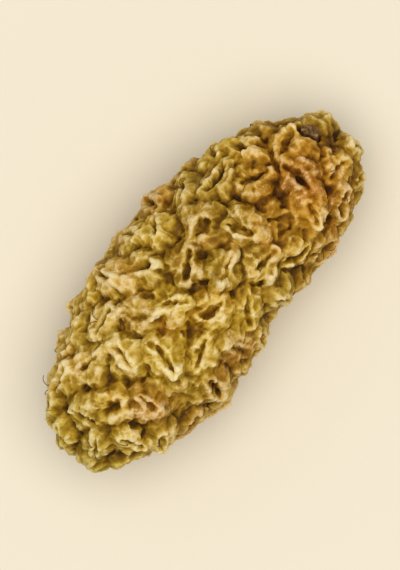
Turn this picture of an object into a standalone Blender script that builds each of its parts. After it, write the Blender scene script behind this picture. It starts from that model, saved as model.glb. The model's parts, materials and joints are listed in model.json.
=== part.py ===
# A dried white mulberry, lying on its flatter side.
#
# A mulberry is a multiple fruit: over a hundred drupelets grow together round a short core. Each one
# is wrapped in dried, folded lips with a slit between them. The broken stub of the stalk sits at the
# narrow end. Metres, +Z up, +X towards the stalk. The origin is the middle of the underside.

import math
import random

import bmesh
import bpy
import numpy as np
from mathutils import Matrix, Vector

# Whole berry, measured over the tops of the drupelets
LENGTH = 0.0200
WIDTH = 0.0093
HEIGHT_ABOVE = 0.0043  # from the middle line up
HEIGHT_BELOW = 0.0042  # from the middle line down, before the resting spots are flattened
TIP_BLUNTNESS = 2.4  # 2 gives a round end, more gives a blunter one
STALK_END_BLUNTNESS = 2.5
TAPER = 0.12  # share of the thickness lost towards the stalk
TAPER_START = -0.35  # where the taper begins: -1 is the tip, 1 the stalk end
BOW = 0.0005  # how far the middle bends to +Y against the ends
TIP_HOOK = 0.0001  # how much further the tip turns to -Y
STALK_HOOK = 0.0003  # how much further the stalk end turns to -Y
DROOP = 0.0004  # how much lower the stalk end lies than the middle, as the tip lies higher
RESTING_CUT = 0.00040  # how much of the lowest drupelets is pressed flat

# Dents from drying: place along the berry (-1 to 1), degrees round it from +Y over the top, depth, reach
DENTS = (
    (0.20, 180, 0.00075, 0.0028),
    (-0.62, 12, 0.00045, 0.0030),
    (-0.90, 185, 0.00085, 0.0026),
    (-0.25, 80, 0.00025, 0.0026),
    (0.50, 105, 0.00030, 0.0024),
    (0.60, 225, 0.00030, 0.0024),
)

# Drupelets
DRUPELETS = 126
CROWDING = 0.9  # how much denser drupelets stand at the two ends than along the middle
CROWDING_START = 6.0  # higher keeps the crowding nearer the ends
GOLDEN_ANGLE = math.radians(137.508)
RISE = 0.00085  # how far a drupelet's lips stand over the core
RISE_RANGE = (0.80, 1.12)  # the lowest and the highest drupelet, as shares of that
SPREAD = 0.62  # drupelet radius as a share of the distance to its neighbours
NEIGHBOURS = 6
WANDER = 0.00020  # how far a drupelet may grow from its even place
LEAN = 0.16  # how far drupelets lean towards the tip
SIDES = 8
SEED = 14

# Drupelet profile from the slit outwards: share of its radius, and share of its rise
SLIT_FLOOR = 0.62  # share of the rise at the middle of the slit
LIP = (0.40, 1.0)
SHOULDER = (0.76, 0.74)
WALL = (1.0, -0.10)
ROOT = (0.92, -1.30)
SLIT_LENGTHENING = 1.45  # the ring of lips is drawn out along the slit by this factor
LIP_DROP = 0.20  # how much lower the lips are where the slit runs out between them

# Core, just under the lowest crevices
CORE_DEPTH = 1.25  # how far under the lips it lies, as a share of the rise
CORE_RINGS = 14
CORE_SIDES = 20

# Stalk stub, woody, broken off a little over the core
STALK_PLACE = 2.74  # radians along the berry: 0 at the tip, pi at the far end
STALK_ANGLE = math.radians(58)  # round the berry, from +Y over the top
STALK_RADIUS = 0.00050
STALK_LENGTH = 0.0022
STALK_SUNK = 0.0016  # how deep its foot sits under the core's surface
STALK_SIDES = 10
STALK_END = 0.88  # thickness at the broken end, as a share of the foot's
STALK_RIM = 0.35  # width of the rim round the dished end, as a share of the radius
STALK_DISH = 0.30  # depth of the dish, as a share of the radius
STALK_CLEAR = 0.00110  # no drupelet grows nearer than this to the stalk's middle
SEAT_GAP = 0.0001  # between the stub and the fruit

# Working steps
PROBE = 0.02  # radians to each side when a direction on the skin is measured
SAMPLES = 721  # places along the berry when its skin's area is summed
SMOOTH_UP_TO = math.radians(48)  # sharper edges than this stay sharp


def linear(hex_colour):
    """The linear RGBA of an sRGB colour written as RRGGBB."""
    channels = [int(hex_colour[i : i + 2], 16) / 255 for i in (0, 2, 4)]
    return [c / 12.92 if c <= 0.04045 else ((c + 0.055) / 1.055) ** 2.4 for c in channels] + [1.0]


def finish(name, hex_colour, roughness):
    """A Principled material of one colour, with no metal in it."""
    material = bpy.data.materials.new(name)
    material.use_nodes = True
    shader = material.node_tree.nodes["Principled BSDF"]
    shader.inputs["Base Color"].default_value = linear(hex_colour)
    shader.inputs["Roughness"].default_value = roughness
    shader.inputs["Metallic"].default_value = 0.0
    return material


def ease(start, end, value):
    """0 before start, 1 after end, and a smooth step between them."""
    share = min(1.0, max(0.0, (value - start) / (end - start)))
    return share * share * (3 - 2 * share)


def thickness_share(along):
    """The berry's thickness at a place from -1 (tip) to 1 (stalk end), as a share of its full one."""
    bluntness = TIP_BLUNTNESS if along < 0 else STALK_END_BLUNTNESS
    blunt = max(0.0, 1 - abs(along) ** bluntness) ** (1 / bluntness)
    return blunt * (1 - TAPER * ease(TAPER_START, 1.0, along))


def sideways_bend(along):
    """How far the middle line lies to +Y at this place."""
    hooks = STALK_HOOK * max(0.0, along) ** 3 + TIP_HOOK * max(0.0, -along) ** 3
    return BOW * (1 - along**2) - hooks


def body_point(place, angle, sink=0.0):
    """A point of the berry's overall form, sunk by this much. place runs from 0 at the tip to pi at the
    far end, and angle goes round from +Y over the top."""
    along = -math.cos(place)
    x = (LENGTH / 2 - sink) * along
    height = HEIGHT_ABOVE if math.sin(angle) > 0 else HEIGHT_BELOW
    share = thickness_share(along)
    across = (WIDTH / 2 - sink) * share * math.cos(angle)
    up = (height - sink) * share * math.sin(angle)
    for dent_along, dent_degrees, depth, reach in DENTS:
        turn = math.remainder(angle - math.radians(dent_degrees), math.tau)
        away = math.hypot((along - dent_along) * LENGTH / 2, turn * WIDTH / 2)
        shrink = depth * math.exp(-((away / reach) ** 2)) / (WIDTH / 2)
        across -= across * shrink
        up -= up * shrink
    return Vector((x, across + sideways_bend(along), up - DROOP * along))


def outward(place, angle, sink=0.0):
    """The outward direction of the overall form, and its direction towards the tip."""
    place = min(math.pi - 2 * PROBE, max(2 * PROBE, place))
    forward = body_point(place + PROBE, angle, sink) - body_point(place - PROBE, angle, sink)
    around = body_point(place, angle + PROBE, sink) - body_point(place, angle - PROBE, sink)
    return around.cross(forward).normalized(), -forward.normalized()


def even_places():
    """One place along the berry for each drupelet, so that they stand evenly, and denser at the ends."""
    places = np.linspace(0.0, math.pi, SAMPLES)
    along = -np.cos(places)
    full_radius = (WIDTH + HEIGHT_ABOVE + HEIGHT_BELOW) / 4
    radius = np.array([thickness_share(a) for a in along]) * full_radius
    slant = np.hypot(np.diff(along * LENGTH / 2), np.diff(radius))
    crowding = 1 + CROWDING * np.abs(along[1:]) ** CROWDING_START
    area = np.concatenate([[0.0], np.cumsum(slant * (radius[1:] + radius[:-1]) * crowding)])
    shares = (np.arange(DRUPELETS) + 0.5) / DRUPELETS
    return np.interp(shares, area / area[-1], places)


def drupelet_seats():
    """For each drupelet its middle, its outward and tipward directions, the turn of its slit, its rise
    and its radius. They follow one spiral, as on the living fruit, and each wanders a little."""
    rng = random.Random(SEED)
    stalk = body_point(STALK_PLACE, STALK_ANGLE, RISE)
    seats = []
    for number, place in enumerate(even_places()):
        angle = number * GOLDEN_ANGLE
        up, tipward = outward(place, angle, RISE)
        sideways = up.cross(tipward)
        middle = body_point(place, angle, RISE)
        middle += tipward * rng.uniform(-WANDER, WANDER) + sideways * rng.uniform(-WANDER, WANDER)
        turn = rng.uniform(0, math.pi)
        rise = RISE * rng.uniform(*RISE_RANGE)
        if (middle - stalk).length > STALK_CLEAR:
            seats.append([middle, (up + tipward * LEAN).normalized(), tipward, turn, rise])
    for seat in seats:
        away = sorted((other[0] - seat[0]).length for other in seats)
        seat.append(SPREAD * sum(away[1 : NEIGHBOURS + 1]) / NEIGHBOURS)
    return seats


def frame_of(up, tipward, turn):
    """A matrix whose Z is up and whose X is tipward, turned round Z."""
    side = up.cross(tipward).normalized()
    turned = Matrix((side.cross(up), side, up)).transposed()
    return turned @ Matrix.Rotation(turn, 3, "Z")


def ring_of(shape, radius, height, lengthening=1.0, drop=0.0):
    """A ring of points round Z, drawn out along X and lowered there, where the ends of the slit are."""
    ring = []
    for side in range(SIDES):
        angle = math.tau * (side + 0.5) / SIDES
        x, y = radius * lengthening * math.cos(angle), radius * math.sin(angle)
        ring.append(shape.verts.new((x, y, height - drop * math.cos(angle) ** 2)))
    return ring


def bud(radius, rise):
    """A drupelet round the origin, +Z outwards: a low mound with two lips along its slit, and a root."""
    shape = bmesh.new()
    slit = shape.verts.new((0, 0, rise * SLIT_FLOOR))
    rings = [ring_of(shape, radius * LIP[0], rise * LIP[1], SLIT_LENGTHENING, rise * LIP_DROP)]
    rings += [ring_of(shape, radius * share, rise * lift) for share, lift in (SHOULDER, WALL, ROOT)]
    for side in range(SIDES):
        after = (side + 1) % SIDES
        shape.faces.new((slit, rings[0][side], rings[0][after]))
        for inner, outer in zip(rings, rings[1:]):
            shape.faces.new((inner[side], outer[side], outer[after], inner[after]))
    shape.faces.new(rings[-1][::-1])
    bmesh.ops.triangulate(shape, faces=shape.faces[:])
    return shape


def add_object(name, shape, collection):
    """Turns a bmesh into an object of this collection."""
    mesh = bpy.data.meshes.new(name)
    shape.to_mesh(mesh)
    shape.free()
    made = bpy.data.objects.new(name, mesh)
    collection.objects.link(made)
    return made


def core():
    """The closed body that the drupelets are rooted in, just under their lowest crevices."""
    shape = bmesh.new()
    sink = RISE * CORE_DEPTH
    tip = shape.verts.new(body_point(0.0, 0.0, sink))
    end = shape.verts.new(body_point(math.pi, 0.0, sink))
    rings = [
        [
            shape.verts.new(body_point(math.pi * ring / CORE_RINGS, math.tau * side / CORE_SIDES, sink))
            for side in range(CORE_SIDES)
        ]
        for ring in range(1, CORE_RINGS)
    ]
    for side in range(CORE_SIDES):
        after = (side + 1) % CORE_SIDES
        shape.faces.new((tip, rings[0][side], rings[0][after]))
        shape.faces.new((end, rings[-1][after], rings[-1][side]))
        for near, far in zip(rings, rings[1:]):
            shape.faces.new((near[side], far[side], far[after], near[after]))
    bmesh.ops.recalc_face_normals(shape, faces=shape.faces[:])
    return shape


def apply_boolean(target, name, **settings):
    """Gives the target the mesh that one Boolean makes of it."""
    boolean = target.modifiers.new(name, "BOOLEAN")
    for setting, value in settings.items():
        setattr(boolean, setting, value)
    graph = bpy.context.evaluated_depsgraph_get()
    mesh = bpy.data.meshes.new_from_object(target.evaluated_get(graph))
    target.modifiers.remove(boolean)
    target.data = mesh


def remove_all(objects):
    for item in list(objects):
        bpy.data.objects.remove(item)


def grow_fruit(scene):
    """The core with every drupelet fused to it."""
    fruit = add_object("mulberry_fruit", core(), scene)
    buds = bpy.data.collections.new("drupelets")
    scene.children.link(buds)
    for number, (middle, up, tipward, turn, rise, radius) in enumerate(drupelet_seats()):
        shape = bud(radius, rise)
        frame = Matrix.Translation(middle) @ frame_of(up, tipward, turn).to_4x4()
        bmesh.ops.transform(shape, matrix=frame, verts=shape.verts[:])
        add_object(f"drupelet_{number}", shape, buds)
    fuse = {"operation": "UNION", "operand_type": "COLLECTION", "collection": buds, "solver": "EXACT"}
    apply_boolean(fruit, "fuse", **fuse)
    remove_all(buds.objects)
    bpy.data.collections.remove(buds)
    return fruit


def tapered_rod(radius, end_radius, length, sides):
    """A closed rod up +Z from the origin."""
    shape = bmesh.new()
    bmesh.ops.create_cone(
        shape, cap_ends=True, segments=sides, radius1=radius, radius2=end_radius, depth=length
    )
    bmesh.ops.translate(shape, vec=(0, 0, length / 2), verts=shape.verts[:])
    return shape


def stalk_frame():
    """Where the stalk's foot is, deep in the core, with +Z out along the stalk."""
    up, tipward = outward(STALK_PLACE, STALK_ANGLE, RISE)
    foot = body_point(STALK_PLACE, STALK_ANGLE, RISE) - up * STALK_SUNK
    return Matrix.Translation(foot) @ frame_of(up, tipward, 0.0).to_4x4()


def cut_seat(fruit, scene):
    """Cuts the hole that the stalk's stub sits in, clear of the stub all round."""
    shape = tapered_rod(STALK_RADIUS + SEAT_GAP, STALK_RADIUS + 2 * SEAT_GAP, 2 * STALK_LENGTH, STALK_SIDES)
    bmesh.ops.translate(shape, vec=(0, 0, -SEAT_GAP), verts=shape.verts[:])
    bmesh.ops.transform(shape, matrix=stalk_frame(), verts=shape.verts[:])
    cutter = add_object("seat_cutter", shape, scene)
    cutter.hide_render = True
    cutter.display_type = "WIRE"
    apply_boolean(fruit, "seat", operation="DIFFERENCE", object=cutter, solver="EXACT")
    remove_all([cutter])


def make_stub(scene):
    """The stub: a round woody rod, a little thinner at its broken end, which is dished."""
    shape = tapered_rod(STALK_RADIUS, STALK_RADIUS * STALK_END, STALK_LENGTH, STALK_SIDES)
    top = max(shape.faces, key=lambda face: face.calc_center_median().z)
    rim, dish = STALK_RADIUS * STALK_RIM, STALK_RADIUS * STALK_DISH
    bmesh.ops.inset_region(shape, faces=[top], thickness=rim, depth=-dish)
    stub = add_object("stalk_stub", shape, scene)
    stub.matrix_world = stalk_frame()
    return stub


def keep_outer_skin(shape):
    """Drops every loose scrap and every pocket that fusing sealed, so only the largest skin is left."""
    skins, left = [], set(shape.verts)
    while left:
        skin, front = set(), [left.pop()]
        while front:
            vert = front.pop()
            skin.add(vert)
            for edge in vert.link_edges:
                other = edge.other_vert(vert)
                if other in left:
                    left.remove(other)
                    front.append(other)
        skins.append(skin)
    skins.sort(key=len)
    scraps = [vert for skin in skins[:-1] for vert in skin]
    bmesh.ops.delete(shape, geom=scraps, context="VERTS")


def press_flat(fruit):
    """Flattens the lowest drupelets to one level, which the berry rests on."""
    shape = bmesh.new()
    shape.from_mesh(fruit.data)
    level = min(vert.co.z for vert in shape.verts) + RESTING_CUT
    everything = shape.verts[:] + shape.edges[:] + shape.faces[:]
    cut = bmesh.ops.bisect_plane(
        shape, geom=everything, dist=1e-7, plane_co=(0, 0, level), plane_no=(0, 0, -1), clear_outer=True
    )
    rims = [item for item in cut["geom_cut"] if isinstance(item, bmesh.types.BMEdge)]
    bmesh.ops.holes_fill(shape, edges=rims)
    keep_outer_skin(shape)
    bmesh.ops.triangulate(shape, faces=shape.faces[:])
    shape.to_mesh(fruit.data)
    shape.free()


def to_origin(fruit, stub):
    """Moves both so that the fruit's underside is at Z = 0, centred on the origin."""
    corners = np.array([vert.co for vert in fruit.data.vertices])
    low, high = corners.min(axis=0), corners.max(axis=0)
    shift = Vector((-(low[0] + high[0]) / 2, -(low[1] + high[1]) / 2, -low[2]))
    fruit.data.transform(Matrix.Translation(shift))
    stub.matrix_world = Matrix.Translation(shift) @ stub.matrix_world


def main():
    for item in list(bpy.data.objects):
        bpy.data.objects.remove(item)
    scene = bpy.context.scene.collection
    fruit = grow_fruit(scene)
    cut_seat(fruit, scene)
    press_flat(fruit)
    stub = make_stub(scene)
    to_origin(fruit, stub)
    fruit.data.materials.clear()
    fruit.data.materials.append(finish("dried_mulberry_flesh", "CDA65A", 0.62))
    stub.data.materials.append(finish("dry_stalk", "5A3A1C", 0.85))
    for piece in (fruit, stub):
        piece.data.shade_smooth()
        piece.data.set_sharp_from_angle(angle=SMOOTH_UP_TO)


main()
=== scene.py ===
# A dried white mulberry on a plain pale floor, seen from straight above.
import json
import math
import random

import bmesh
import bpy
import numpy as np
from mathutils import Matrix, Vector

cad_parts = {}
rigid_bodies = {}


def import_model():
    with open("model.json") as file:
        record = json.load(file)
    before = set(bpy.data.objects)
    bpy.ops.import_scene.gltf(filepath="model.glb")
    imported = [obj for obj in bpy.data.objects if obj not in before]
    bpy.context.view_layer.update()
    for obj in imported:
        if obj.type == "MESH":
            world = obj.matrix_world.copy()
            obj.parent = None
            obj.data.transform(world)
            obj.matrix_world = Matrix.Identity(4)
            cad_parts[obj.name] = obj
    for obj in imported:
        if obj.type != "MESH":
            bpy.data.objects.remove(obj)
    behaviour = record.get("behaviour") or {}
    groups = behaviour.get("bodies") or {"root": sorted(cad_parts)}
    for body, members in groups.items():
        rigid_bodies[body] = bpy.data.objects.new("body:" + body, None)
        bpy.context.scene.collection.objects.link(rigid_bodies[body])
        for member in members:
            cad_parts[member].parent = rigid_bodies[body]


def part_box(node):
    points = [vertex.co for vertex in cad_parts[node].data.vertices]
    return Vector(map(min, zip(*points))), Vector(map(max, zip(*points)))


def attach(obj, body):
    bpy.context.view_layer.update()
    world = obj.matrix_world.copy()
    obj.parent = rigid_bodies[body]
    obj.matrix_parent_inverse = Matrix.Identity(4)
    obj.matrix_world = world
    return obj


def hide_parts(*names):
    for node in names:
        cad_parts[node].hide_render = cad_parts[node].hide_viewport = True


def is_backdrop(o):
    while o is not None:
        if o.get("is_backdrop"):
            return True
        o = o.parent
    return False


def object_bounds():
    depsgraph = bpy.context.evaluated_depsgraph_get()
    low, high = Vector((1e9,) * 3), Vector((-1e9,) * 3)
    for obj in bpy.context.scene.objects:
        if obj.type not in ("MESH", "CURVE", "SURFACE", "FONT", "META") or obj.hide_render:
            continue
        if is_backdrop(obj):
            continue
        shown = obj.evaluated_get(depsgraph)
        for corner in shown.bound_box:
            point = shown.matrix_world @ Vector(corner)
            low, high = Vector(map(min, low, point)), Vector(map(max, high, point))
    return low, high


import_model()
cadLow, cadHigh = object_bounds()
perMetre = 1000.0  # the berry is modelled in millimetres, and made metres when it is finished
print("frame loaded:", [round(perMetre * side, 2) for side in cadHigh - cadLow], "mm")

# The overall form in millimetres, over the tops of the drupelets, as in the solids
berry = {
    "length": 20.0,
    "width": 9.3,
    "heightAbove": 4.3,  # from the middle line
    "heightBelow": 4.2,
    "tipBluntness": 2.4,  # 2 is an ellipse, and more is squarer
    "stalkEndBluntness": 2.5,
    "taper": 0.12,  # share of its thickness that it loses towards the stalk end
    "taperStart": -0.35,  # places along it run from -1 at the tip to 1 at the stalk end
    "bow": 0.5,  # of the middle towards +Y
    "tipHook": 0.1,  # of the ends, the other way
    "stalkHook": 0.3,
    "droop": 0.4,  # of the stalk end, with the tip raised as much
    # place along it, degrees round from +Y over the top, depth, reach
    "dents": [
        (0.20, 180, 0.75, 2.8),
        (-0.62, 12, 0.45, 3.0),
        (-0.90, 185, 0.85, 2.6),
        (-0.25, 80, 0.25, 2.6),
        (0.50, 105, 0.30, 2.4),
        (0.60, 225, 0.30, 2.4),
    ],
}

# Where the drupelets grow, as in the solids
spiral = {
    "drupelets": 126,
    "goldenAngle": math.radians(137.508),
    "crowding": 0.9,  # how many more there are at the two ends
    "crowdingStart": 6.0,  # higher keeps that nearer the ends
    "rise": 0.85,  # millimetres of a drupelet over its seat
    "riseRange": (0.80, 1.12),  # shares of that
    "spread": 0.62,  # radius of a drupelet, as a share of the way to its neighbours
    "neighbours": 6,
    "wander": 0.20,  # millimetres off the spiral
    "lean": 0.16,  # towards the tip
    "seed": 14,
    "probe": 0.02,  # radians to either side, to find the slope there
    "samples": 721,
}

# Where the stalk stands, in millimetres and radians
stalk = {
    "place": 2.74,  # from 0 at the tip to pi at the stalk end
    "angle": math.radians(58),  # round from +Y over the top
    "length": 2.2,
    "sunk": 1.6,  # how much of it is under the level of the seats
    "clear": 1.10,  # round it, where no drupelet grows
}


def ease(start, end, value):
    share = min(1.0, max(0.0, (value - start) / (end - start)))
    return share * share * (3 - 2 * share)


def thicknessShare(along):
    bluntness = berry["tipBluntness"] if along < 0 else berry["stalkEndBluntness"]
    blunt = max(0.0, 1 - abs(along) ** bluntness) ** (1 / bluntness)
    return blunt * (1 - berry["taper"] * ease(berry["taperStart"], 1.0, along))


def bodyPoint(place, angle, sink=0.0):
    # place runs from 0 at the tip to pi at the stalk end, angle round from +Y over the top
    along = -math.cos(place)
    height = berry["heightAbove"] if math.sin(angle) > 0 else berry["heightBelow"]
    share = thicknessShare(along)
    across = (berry["width"] / 2 - sink) * share * math.cos(angle)
    up = (height - sink) * share * math.sin(angle)
    for dentAlong, dentDegrees, depth, reach in berry["dents"]:
        turn = math.remainder(angle - math.radians(dentDegrees), math.tau)
        away = math.hypot((along - dentAlong) * berry["length"] / 2, turn * berry["width"] / 2)
        shrink = depth * math.exp(-((away / reach) ** 2)) / (berry["width"] / 2)
        across -= across * shrink
        up -= up * shrink
    hooks = berry["stalkHook"] * max(0.0, along) ** 3 + berry["tipHook"] * max(0.0, -along) ** 3
    bend = berry["bow"] * (1 - along**2) - hooks
    return Vector(((berry["length"] / 2 - sink) * along, across + bend, up - berry["droop"] * along))


def outward(place, angle, sink):
    # the directions out of the berry and towards its tip
    probe = spiral["probe"]
    place = min(math.pi - 2 * probe, max(2 * probe, place))
    forward = bodyPoint(place + probe, angle, sink) - bodyPoint(place - probe, angle, sink)
    around = bodyPoint(place, angle + probe, sink) - bodyPoint(place, angle - probe, sink)
    return around.cross(forward).normalized(), -forward.normalized()


def evenPlaces():
    # the places along the berry that give each drupelet its share of the skin
    places = np.linspace(0.0, math.pi, spiral["samples"])
    along = -np.cos(places)
    fullRadius = (berry["width"] + berry["heightAbove"] + berry["heightBelow"]) / 4
    radius = np.array([thicknessShare(a) for a in along]) * fullRadius
    slant = np.hypot(np.diff(along * berry["length"] / 2), np.diff(radius))
    crowding = 1 + spiral["crowding"] * np.abs(along[1:]) ** spiral["crowdingStart"]
    area = np.concatenate([[0.0], np.cumsum(slant * (radius[1:] + radius[:-1]) * crowding)])
    shares = (np.arange(spiral["drupelets"]) + 0.5) / spiral["drupelets"]
    return np.interp(shares, area / area[-1], places)


def seatFrame(up, tipward, turn):
    # columns: along the slit, across it, outwards
    side = up.cross(tipward).normalized()
    turned = Matrix((side.cross(up), side, up)).transposed()
    return turned @ Matrix.Rotation(turn, 3, "Z")


def drupeletSeats():
    rng = random.Random(spiral["seed"])
    wander, sink = spiral["wander"], spiral["rise"]
    stalkPlace = bodyPoint(stalk["place"], stalk["angle"], sink)
    seats = []
    for number, place in enumerate(evenPlaces()):
        angle = number * spiral["goldenAngle"]
        up, tipward = outward(place, angle, sink)
        middle = bodyPoint(place, angle, sink)
        middle += tipward * rng.uniform(-wander, wander) + up.cross(tipward) * rng.uniform(-wander, wander)
        turn = rng.uniform(0, math.pi)
        rise = sink * rng.uniform(*spiral["riseRange"])
        if (middle - stalkPlace).length > stalk["clear"]:
            lean = (up + tipward * spiral["lean"]).normalized()
            seats.append({"middle": middle, "frame": seatFrame(lean, tipward, turn), "rise": rise})
    for seat in seats:
        away = sorted((other["middle"] - seat["middle"]).length for other in seats)
        count = spiral["neighbours"]
        seat["radius"] = spiral["spread"] * sum(away[1 : count + 1]) / count
    return seats


# The outermost rings of a drupelet of the solids, in shares of its radius and rise
solidRings = {
    "sides": 8,
    # radius, height, lengthening along the slit, drop towards the slit's ends
    "lips": (0.40, 1.0, 1.45, 0.20),
    "shoulder": (0.76, 0.74, 1.0, 0.0),
}


def solidBox(seats):
    # the solids' box before they were moved to the origin
    points = []
    for seat in seats:
        for share, lift, lengthening, drop in (solidRings["lips"], solidRings["shoulder"]):
            for side in range(solidRings["sides"]):
                angle = math.tau * (side + 0.5) / solidRings["sides"]
                x = seat["radius"] * share * lengthening * math.cos(angle)
                y = seat["radius"] * share * math.sin(angle)
                z = seat["rise"] * (lift - drop * math.cos(angle) ** 2)
                points.append(seat["middle"] + seat["frame"] @ Vector((x, y, z)))
    points = np.array(points)
    return points.min(axis=0), points.max(axis=0)


seats = drupeletSeats()
rawLow, rawHigh = solidBox(seats)
fruitLow, fruitHigh = (perMetre * np.array(corner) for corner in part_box("mulberry_fruit"))
shift = np.array([fruitLow[0] - rawLow[0], fruitLow[1] - rawLow[1], fruitHigh[2] - rawHigh[2]])
for seat in seats:
    seat["middle"] += Vector(shift)
print("drupelets:", len(seats), "moved by", shift.round(3), "mm, ends off by",
      (rawHigh + shift - fruitHigh).round(3))


def linearColour(hexCode, alpha=1.0):
    # sRGB hex to the linear values that Blender's sockets take
    shares = [int(hexCode[i : i + 2], 16) / 255 for i in (1, 3, 5)]
    return (*(s / 12.92 if s <= 0.04045 else ((s + 0.055) / 1.055) ** 2.4 for s in shares), alpha)


def addNode(tree, kind, settings=None, inputs=None):
    # settings given as text are the operation alone; an input is a value, a hex colour, a node (its first
    # output), a pair of node and output name, or a list of those
    made = tree.nodes.new(kind)
    settings = {"operation": settings} if isinstance(settings, str) else settings or {}
    for name, value in settings.items():
        if name == "stops":  # of a colour ramp: place and hex colour
            while len(made.color_ramp.elements) < len(value):
                made.color_ramp.elements.new(1.0)
            for stop, (place, hexCode) in zip(made.color_ramp.elements, value):
                stop.position = place
                stop.color = linearColour(hexCode)
        else:
            setattr(made, name, value)
    for key, given in (inputs or {}).items():
        named = (socket for socket in made.inputs if socket.enabled and socket.name == key)
        socket = made.inputs[key] if isinstance(key, int) else next(named)
        for value in given if isinstance(given, list) else [given]:
            isPair = isinstance(value, tuple) and isinstance(value[0], bpy.types.Node)
            source, wanted = value if isPair else (value, None)
            if isinstance(source, bpy.types.Node):
                outputs = (output for output in source.outputs if output.enabled)
                tree.links.new(next(output for output in outputs if wanted in (None, output.name)), socket)
            elif isinstance(value, str) and value.startswith("#"):
                socket.default_value = linearColour(value)
            else:
                socket.default_value = value
    return made


def newMaterial(name):
    # an empty material, its node tree, and the place on the piece in millimetres
    material = bpy.data.materials.new(name)
    material.use_nodes = True
    tree = material.node_tree
    tree.nodes.clear()
    place = addNode(tree, "ShaderNodeTexCoord")
    inMillimetres = addNode(tree, "ShaderNodeVectorMath", "SCALE",
                            {0: (place, "Object"), "Scale": perMetre})
    return material, tree, inMillimetres


def plainMaterial(name, colour, roughness):
    material = bpy.data.materials.new(name)
    material.use_nodes = True
    surface = material.node_tree.nodes["Principled BSDF"]
    surface.inputs["Base Color"].default_value = linearColour(colour)
    surface.inputs["Roughness"].default_value = roughness
    return material


def newTree(name, inputs):
    # a geometry tree with the named inputs, each of the kind of its value: a NodeSocketFloat for a float
    tree = bpy.data.node_groups.new(name, "GeometryNodeTree")
    for direction in ("INPUT", "OUTPUT"):
        tree.interface.new_socket("Geometry", in_out=direction, socket_type="NodeSocketGeometry")
    for inputName, value in inputs.items():
        kind = "NodeSocket" + type(value).__name__.capitalize()
        tree.interface.new_socket(inputName, in_out="INPUT", socket_type=kind)
    return tree, addNode(tree, "NodeGroupInput")


def endTree(tree, given, geometry):
    real = addNode(tree, "GeometryNodeRealizeInstances", {}, {"Geometry": geometry})
    covered = addNode(tree, "GeometryNodeSetMaterial", {}, {
        "Geometry": real, "Material": (given, "Material")})
    addNode(tree, "NodeGroupOutput", {}, {"Geometry": covered})
    return tree


def noiseOffset(tree, given, name, amount, detail):
    # an offset by a noise whose size is the input of that name
    place = addNode(tree, "GeometryNodeInputPosition")
    fineness = addNode(tree, "ShaderNodeMath", "DIVIDE", {0: 1.0, 1: (given, name + " Size")})
    noise = addNode(tree, "ShaderNodeTexNoise", {}, {"Vector": place, "Scale": fineness, "Detail": detail})
    centred = addNode(tree, "ShaderNodeVectorMath", "SUBTRACT", {0: (noise, "Color"), 1: (0.5, 0.5, 0.5)})
    return addNode(tree, "ShaderNodeVectorMath", "SCALE", {0: centred, "Scale": amount})


def addTree(piece, makeTree, inputs):
    tree = makeTree(inputs)
    modifier = piece.modifiers.new(tree.name, "NODES")
    modifier.node_group = tree
    for socket in tree.interface.items_tree:
        if socket.name in inputs:
            modifier[socket.identifier] = inputs[socket.name]


def newObject(name, data):
    made = bpy.data.objects.new(name, data)
    bpy.context.scene.collection.objects.link(made)
    return made


def newMesh(name, points, faces):
    mesh = bpy.data.meshes.new(name)
    mesh.from_pydata(points, [], faces)
    return mesh


def evaluatedMesh(piece, name):
    graph = bpy.context.evaluated_depsgraph_get()
    mesh = bpy.data.meshes.new_from_object(piece.evaluated_get(graph))
    mesh.name = name
    return mesh


def toMetres(mesh):
    mesh.transform(Matrix.Scale(1 / perMetre, 4))
    mesh.update()
    return mesh


def tubeFaces(loops, sides):
    # both ends and the wall of a tube whose points come loop by loop, in the direction of its frame's Z
    faces = [list(range(sides))[::-1], [sides * (loops - 1) + side for side in range(sides)]]
    for loop in range(loops - 1):
        low, high = sides * loop, sides * (loop + 1)
        for side in range(sides):
            after = (side + 1) % sides
            faces.append((low + side, low + after, high + after, high + side))
    return faces


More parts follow.
